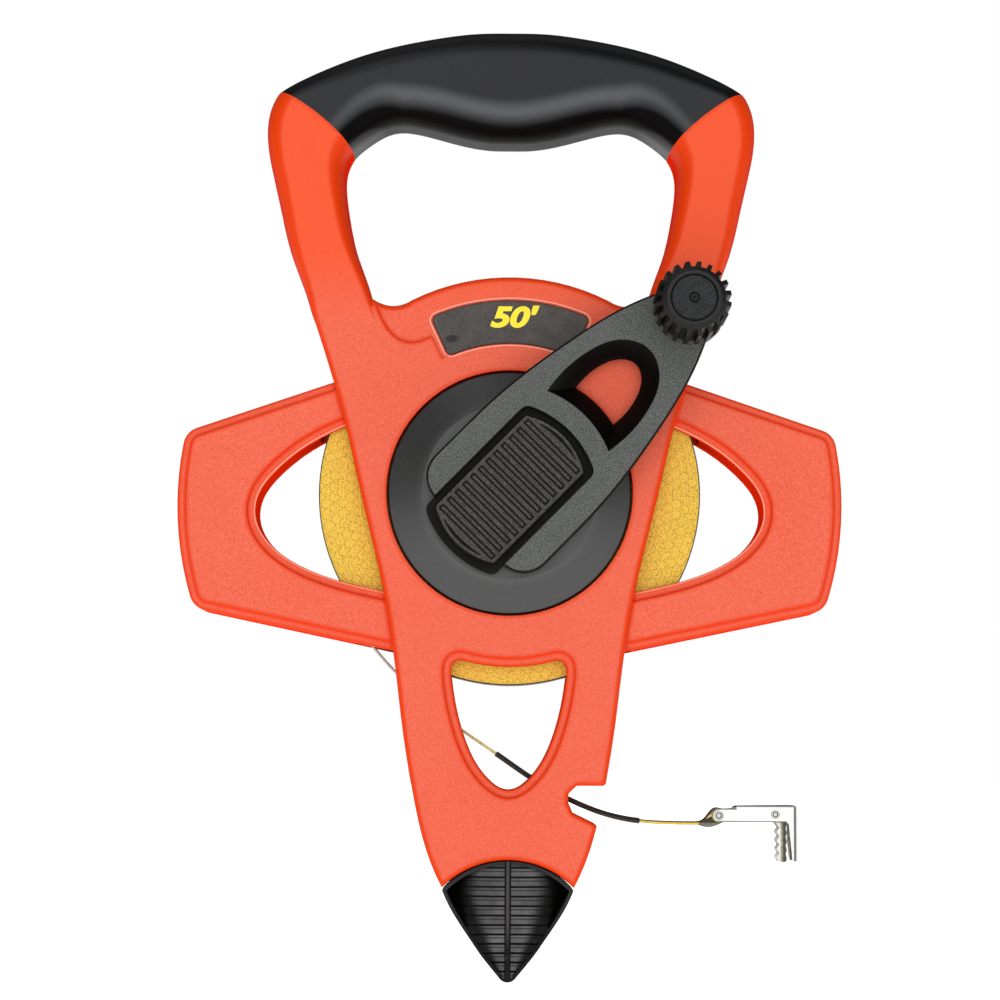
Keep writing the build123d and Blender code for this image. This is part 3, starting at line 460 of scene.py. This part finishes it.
def tape_face():
    """Yellow core seen on the tape's edge, with a darker woven face on both sides."""
    m = Mat("tape_face")
    x = m.axis("X")
    grain = m.noise(1400.0, 3.0, 0.6)
    threads = m.noise(700.0, 2.0, 0.5)
    grey = m.mix(m.ramp(grain, 0.3, 0.7), srgb(150, 148, 140), srgb(204, 201, 192))
    cream = m.mix(m.ramp(threads, 0.3, 0.7), srgb(196, 172, 100), srgb(226, 204, 138))
    yellow = m.mix(m.ramp(grain, 0.35, 0.7), srgb(206, 170, 40), srgb(236, 208, 80))
    yellow = m.mix(m.ramp(m.size(m.axis("Y", "Normal")), 0.93, 0.80), yellow, srgb(46, 40, 24))
    color = m.mix(m.ramp(x, -0.040, -0.022, smooth=True), grey, cream)
    color = m.mix(m.ramp(x, 0.020, 0.036, smooth=True), color, yellow)
    return m.finish(color, 0.45, m.bump(threads, 0.00008, 0.4), Specular_IOR_Level=0.4)


def sleeve_black():
    """Woven black sleeve."""
    m = Mat("sleeve_black")
    weave = m.noise(1500.0, 2.0, 0.6)
    color = m.mix(m.ramp(weave, 0.35, 0.7), srgb(16, 14, 12), srgb(46, 42, 36))
    return m.finish(color, 0.5, m.bump(weave, 0.0001, 0.5), Specular_IOR_Level=0.4)


def loop_print():
    """Folded tape end: yellow where the tape runs round the pin, painted shade inside the fold."""
    m = Mat("loop_print")
    x, z = hub_xz(m)
    x = m.minus(x, LOOP_PIN_AT[0])
    z = m.minus(z, LOOP_PIN_AT[1])
    grain = m.noise(1500.0, 3.0, 0.6)
    r = m.length(x, z)
    grey = m.mix(m.ramp(grain, 0.35, 0.7), srgb(96, 94, 80), srgb(132, 130, 112))
    branch = m.plus(m.times(x, 0.42), 1.0)
    branch = m.ramp(m.size(m.minus(z, branch)), 0.42, 0.26)
    round_pin = m.ramp(m.size(m.minus(r, 1.75)), 0.34, 0.2)
    yellow = m.larger(m.times(branch, m.ramp(x, -1.2, -1.6)), round_pin)
    # Painted shade in the band between the fold's layers.
    fill = m.times(m.ramp(z, 0.4, 0.0), m.ramp(z, -2.4, -2.0))
    color = m.mix(fill, grey, srgb(44, 38, 24))
    color = m.mix(yellow, color, srgb(214, 188, 70))
    color = m.mix(m.ramp(m.size(m.axis("Y", "Normal")), 0.8, 0.6), color, srgb(60, 56, 42))
    return m.finish(color, 0.42, m.bump(grain, 0.00008, 0.3), Specular_IOR_Level=0.4)


def plated_sheet(name, low, high, rough_low, rough_high, edge, metallic):
    """Bright on its faces, with painted shade making its cut edges and folds darker. The colour isn't linked
    yet.
    """
    m = Mat(name)
    cloud = m.noise(160.0, 4.0, 0.6)
    fine = m.noise(1800.0, 2.0, 0.6)
    color = m.mix(m.ramp(cloud, 0.35, 0.68), low, high)
    # Painted shade on faces that don't look out of the front or back.
    color = m.mix(facing_front(m, 0.6, 0.95), edge, color)
    rough = m.spread(fine, 0.3, 0.7, rough_low, rough_high)
    m.finish(None, rough, m.bump(fine, 0.00004, 0.25), Metallic=metallic)
    return m, color


def plated(*look):
    m, color = plated_sheet(*look)
    return m.finish(color)


def bracket_nickel(*look):
    """Plated bracket with painted shade lines where its sheet is folded and cut."""
    m, plain = plated_sheet(*look)
    x, z = hub_xz(m)
    top = m.times(m.ramp(z, -93.6, -93.4), m.ramp(x, 68.0, 68.4))
    right = m.ramp(x, 85.25, 85.4)
    low_side = m.times(m.ramp(z, -97.55, -97.75), m.ramp(x, 83.4, 83.2))
    reach = away_from(m, LOOP_PIN_AT)
    nose = m.times(m.ramp(reach, 1.6, 1.75), m.ramp(x, 63.3, 63.0))
    upper = m.times(m.ramp(z, -94.4, -94.25), m.ramp(x, 68.4, 68.2))
    # Painted shade lines along folds and cut edges.
    lines = m.larger(m.larger(top, right), m.larger(low_side, nose))
    lines = m.larger(lines, upper)
    return m.finish(m.mix(m.times(lines, 0.85), plain, srgb(60, 56, 48)))


def pin_head(name, place, ring_at, edge_at):
    """Rivet head with painted shade lines on its turned ring and round its edge."""
    m, plain = plated_sheet(name, srgb(206, 206, 200), srgb(232, 232, 226), 0.24, 0.36,
                            srgb(70, 68, 62), 0.6)
    reach = away_from(m, place)
    # Painted shade lines on the ring and round the head's edge.
    ring = m.ramp(m.size(m.minus(reach, ring_at)), 0.24, 0.12)
    lines = m.larger(ring, m.ramp(reach, edge_at, edge_at + 0.12))
    return m.finish(m.mix(m.times(lines, 0.9), plain, srgb(54, 50, 44)))


def claw_print():
    """Toothed claw: bright at its teeth, with a band of painted shade behind them."""
    m, plain = plated_sheet("claw_steel", srgb(214, 214, 206), srgb(238, 238, 232), 0.30, 0.46,
                            srgb(84, 84, 62), 0.25)
    x, z = hub_xz(m)
    waved = m.plus(x, m.times(m.math("SINE", m.times(z, 2.5)), 0.16))
    band_cloud = m.noise(900.0, 3.0, 0.7)
    # Painted shade in an olive band and a darker line behind the teeth.
    band = m.times(m.ramp(x, 81.35, 81.75), m.ramp(waved, 83.3, 83.1))
    dark = m.times(m.ramp(x, 82.0, 82.4), m.ramp(waved, 83.25, 83.05))
    olive = m.mix(m.ramp(band_cloud, 0.35, 0.65), srgb(104, 104, 78), srgb(160, 160, 134))
    color = m.mix(m.times(band, 0.95), plain, olive)
    return m.finish(m.mix(m.times(dark, 0.9), color, srgb(46, 44, 28)))


def label_print():
    """Dark printed plate with a darker border and one worn blot."""
    m = Mat("label_print")
    x, z = hub_xz(m)
    ink = m.mix(m.ramp(m.noise(300.0, 3.0), 0.35, 0.7), srgb(60, 56, 53), srgb(76, 71, 67))
    ink = m.mix(m.ramp(m.noise(2400.0, 2.0, 0.65), 0.45, 0.7), ink, srgb(96, 90, 85))
    dx = m.math("DIVIDE", m.plus(x, 17.6), 2.0)
    dz = m.math("DIVIDE", m.minus(z, 46.6), 1.15)
    blot = m.length(dx, dz)
    ink = m.mix(m.times(m.ramp(blot, 1.15, 0.75), 0.85), ink, srgb(34, 30, 28))
    edge = m.ramp(label_edge(m), -0.45, -0.15)
    color = m.mix(edge, ink, srgb(46, 40, 37))
    return m.finish(color, 0.42, m.bump(m.noise(900.0), 0.00004, 0.2), Specular_IOR_Level=0.25)


def number_print():
    m = Mat("number_print")
    color = m.mix(m.ramp(m.noise(500.0, 3.0), 0.35, 0.7), srgb(246, 222, 40), srgb(255, 232, 66))
    return m.finish(color, 0.4, Specular_IOR_Level=0.3)


def floor_white():
    m = Mat("studio_floor")
    color = m.mix(m.ramp(m.noise(3.0, 2.0), 0.3, 0.7), (0.93, 0.93, 0.93), (0.95, 0.95, 0.95))
    return m.finish(color, 0.9, Specular_IOR_Level=0.05, Emission_Color=(1, 1, 1, 1),
                    Emission_Strength=FLOOR_GLOW)


ORANGE = moulded_orange()
RUBBER = grip_rubber()
CRANK = shadowed_plastic("crank_grey", srgb(65, 67, 65), srgb(77, 79, 77), 0.52, 20.6, gloss=0.26)
DISH = dish_plastic()
COVER = shadowed_plastic("cover_grey", srgb(44, 43, 41), srgb(56, 55, 52), 0.50, 22.55)
KNOB = knob_plastic()
CAP = cap_plastic()
DRUM = dark_plastic("drum_black", srgb(24, 24, 25), srgb(34, 34, 35), 0.55)
SPIKE = spike_plastic()
PACK = wound_tape()
TAPE = tape_face()
SLEEVE = sleeve_black()
LOOP = loop_print()
NICKEL = bracket_nickel("hook_nickel", srgb(236, 235, 230), srgb(248, 247, 244), 0.22, 0.34,
                        srgb(120, 116, 104), 0.55)
STEEL = plated("steel", srgb(188, 188, 190), srgb(206, 206, 208), 0.26, 0.40, srgb(120, 120, 122), 1.0)
CLAW = claw_print()
PIN = pin_head("loop_rivet", LOOP_PIN_AT, 0.80, 1.15)
CLAW_RIVET = pin_head("claw_rivet", CLAW_PIN_AT, 0.72, 1.05)
BUSH = dark_plastic("bush_acetal", srgb(214, 210, 200), srgb(226, 224, 216), 0.40, 0.2)
LABEL = label_print()
NUMBER = number_print()


def paint(material, *names):
    for name in names:
        mesh = NODES[name].data
        mesh.materials.clear()
        mesh.materials.append(material)


paint(ORANGE, "front_frame", "rear_frame")
paint(RUBBER, "front_grip", "rear_grip")
paint(SPIKE, "ground_spike")
paint(CRANK, "crank_arm")
paint(DISH, "hub_dish", "rear_cap")
paint(COVER, "crank_cover")
paint(KNOB, "crank_knob")
paint(CAP, "knob_cap")
paint(DRUM, "reel_drum")
paint(PACK, "tape_pack")
paint(NICKEL, "hook_bracket")
paint(CLAW_RIVET, "claw_pin")
paint(PIN, "loop_pin")
paint(CLAW, "hook_claw")
paint(LOOP, "tape_loop")
paint(STEEL, "axle", "axle_clip", "crank_washer", "crank_screw", "knob_pin", "frame_screws", "tape_anchor")
paint(BUSH, "axle_bush")
paint(LABEL, "capacity_label")


# ------------------------------------------------------------------ free tape
TAPE_ROUTE = [(-49.8, -31.0), (-45.6, -39.2), (-39.8, -47.8), (-30.0, -57.8), (-16.4, -69.4),
              (-3.8, -77.8), (7.6, -85.8), (19.5, -92.3), (31.5, -96.8), (44.4, -98.5), (57.0, -98.4)]


def route_line():
    """Points read along the smooth spline whose control points are the tape's route."""
    curve = bpy.data.curves.new("tape_line", "CURVE")
    curve.dimensions = "3D"
    curve.resolution_u = 24
    spline = curve.splines.new("NURBS")
    spline.points.add(len(TAPE_ROUTE) - 1)
    for point, (x, z) in zip(spline.points, TAPE_ROUTE):
        point.co = (*at(x, z), 1.0)
    spline.order_u = 3
    spline.use_endpoint_u = True
    line = bpy.data.objects.new("tape_line", curve)
    bpy.context.scene.collection.objects.link(line)
    bpy.context.view_layer.update()
    mesh = bpy.data.meshes.new_from_object(line.evaluated_get(bpy.context.evaluated_depsgraph_get()))
    points = [v.co.copy() for v in mesh.vertices]
    bpy.data.objects.remove(line)
    return points


def strip(name, path, outline, material):
    """A mesh that sweeps outline, points (across, off the face), along path."""
    mesh = bpy.data.meshes.new(name)
    bm = bmesh.new()
    rings = []
    for index, point in enumerate(path):
        ahead = path[min(index + 1, len(path) - 1)] - path[max(index - 1, 0)]
        ahead.normalize()
        off = Vector((-ahead.z, 0, ahead.x))
        rings.append([bm.verts.new(point + Vector((0, a, 0)) + off * b) for a, b in outline])
    count = len(outline)
    for ring, following in zip(rings, rings[1:]):
        for i in range(count):
            j = (i + 1) % count
            bm.faces.new((ring[i], ring[j], following[j], following[i]))
    bm.faces.new(rings[0][::-1])
    bm.faces.new(rings[-1])
    bmesh.ops.recalc_face_normals(bm, faces=bm.faces)
    bm.to_mesh(mesh)
    bm.free()
    for polygon in mesh.polygons:
        polygon.use_smooth = True
    mesh.set_sharp_from_angle(angle=radians(35))
    mesh.materials.append(material)
    piece = bpy.data.objects.new(name, mesh)
    bpy.context.scene.collection.objects.link(piece)
    return piece


def ring_section(half_width, half_thick):
    """A flat strip's section with rounded edges."""
    points = []
    for corner, start in ((1, -90), (-1, 90)):
        for step in range(5):
            turn = radians(start + 45 * step)
            points.append((corner * (half_width - half_thick) + half_thick * cos(turn),
                           half_thick * sin(turn)))
    return points


line = route_line()
tape = strip("tape_end", line, ring_section(TAPE_HALF_WIDTH * MM, TAPE_HALF_THICK * MM), TAPE)
inside = [p for p in line if SLEEVE_START * MM <= p.x <= SLEEVE_END * MM]
sleeve = strip("tape_sleeve", inside, ring_section(SLEEVE_HALF_WIDTH * MM, SLEEVE_HALF_THICK * MM), SLEEVE)
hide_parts("free_tape")
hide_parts("leader_sleeve")
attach(tape, "frame")
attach(sleeve, "frame")

# ------------------------------------------------------------------ label number
letters = bpy.data.curves.new("capacity_number", "FONT")
letters.body = "50'"
letters.size = 0.0084
letters.extrude = 0.00006
letters.shear = 0.25
letters.offset = 0.00036
letters.align_x = "CENTER"
letters.align_y = "CENTER"
number = bpy.data.objects.new("capacity_number", letters)
bpy.context.scene.collection.objects.link(number)
number.location = at(0.35, 52.9, 11.28)
number.scale = (1.30, 1.0, 1.0)
number.rotation_euler = (radians(90), 0, 0)
letters.materials.append(NUMBER)
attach(number, "frame")

# ------------------------------------------------------------------ stage, light and camera
bpy.ops.mesh.primitive_grid_add(x_subdivisions=2, y_subdivisions=2, size=14, location=(0, 0, 0))
floor = bpy.context.object
floor.name = "studio_floor"
floor.data.materials.append(floor_white())

scene = bpy.context.scene
scene.view_settings.view_transform = "Standard"
scene.view_settings.look = "None"
world = bpy.data.worlds.new("studio")
scene.world = world
world.use_nodes = True
sky = world.node_tree
backdrop = sky.nodes["Background"]
backdrop.inputs[0].default_value = (1, 1, 1, 1)


def sky_node(kind, inputs, **props):
    made = sky.nodes.new(kind)
    for key, value in props.items():
        setattr(made, key, value)
    for key, value in inputs.items():
        if isinstance(value, bpy.types.NodeSocket):
            sky.links.new(value, made.inputs[key])
        else:
            made.inputs[key].default_value = value
    return made


# Glossy rays meet a soft panel behind the camera, matte rays are lit from the front and the back,
# and the camera itself looks past the object into plain white.
direction = sky_node("ShaderNodeSeparateXYZ", {0: sky.nodes.new("ShaderNodeTexCoord").outputs["Generated"]})
panel = sky_node("ShaderNodeMapRange", {0: direction.outputs["Y"], 1: -0.68, 2: -0.97, 3: SIDE_LIGHT,
                                        4: PANEL_LIGHT}, interpolation_type="SMOOTHSTEP")
rays = sky.nodes.new("ShaderNodeLightPath")
facing = sky_node("ShaderNodeMath", {0: direction.outputs["Y"]}, operation="ABSOLUTE")
matte = sky_node("ShaderNodeMapRange", {0: facing.outputs[0], 1: 0.40, 2: 0.97, 3: ROOM_LIGHT,
                                        4: FRONT_LIGHT}, interpolation_type="SMOOTHSTEP")
lit = sky_node("ShaderNodeMix", {0: rays.outputs["Is Glossy Ray"], 2: matte.outputs[0], 3: panel.outputs[0]})
level = sky_node("ShaderNodeMix", {0: rays.outputs["Is Camera Ray"], 2: lit.outputs[0], 3: 1.0})
sky.links.new(level.outputs[0], backdrop.inputs[1])


def softbox(name, place, aim, size, power):
    data = bpy.data.lights.new(name, "AREA")
    data.shape = "RECTANGLE"
    data.size, data.size_y = size
    data.energy = power
    lamp = bpy.data.objects.new(name, data)
    scene.collection.objects.link(lamp)
    lamp.location = place
    lamp.rotation_euler = (Vector(aim) - Vector(place)).to_track_quat("-Z", "Y").to_euler()
    return lamp


softbox("key", (-0.35, -0.55, 1.25), (0, 0, 0.15), (0.6, 0.6), 1.6)
softbox("top", (0.0, 0.1, 1.1), (0, 0, 0.15), (0.9, 0.6), 0.8)

camera_data = bpy.data.cameras.new("camera")
camera_data.sensor_width = 36
camera_data.lens = 102
camera = bpy.data.objects.new("camera", camera_data)
scene.collection.objects.link(camera)
camera.location = (-0.00285, -0.8574, 0.0662)
tilt = radians(5.24)
camera.rotation_euler = (Vector((0, cos(tilt), sin(tilt)))).to_track_quat("-Z", "Y").to_euler()
camera.rotation_euler.rotate_axis("Z", radians(0.27))
scene.camera = camera
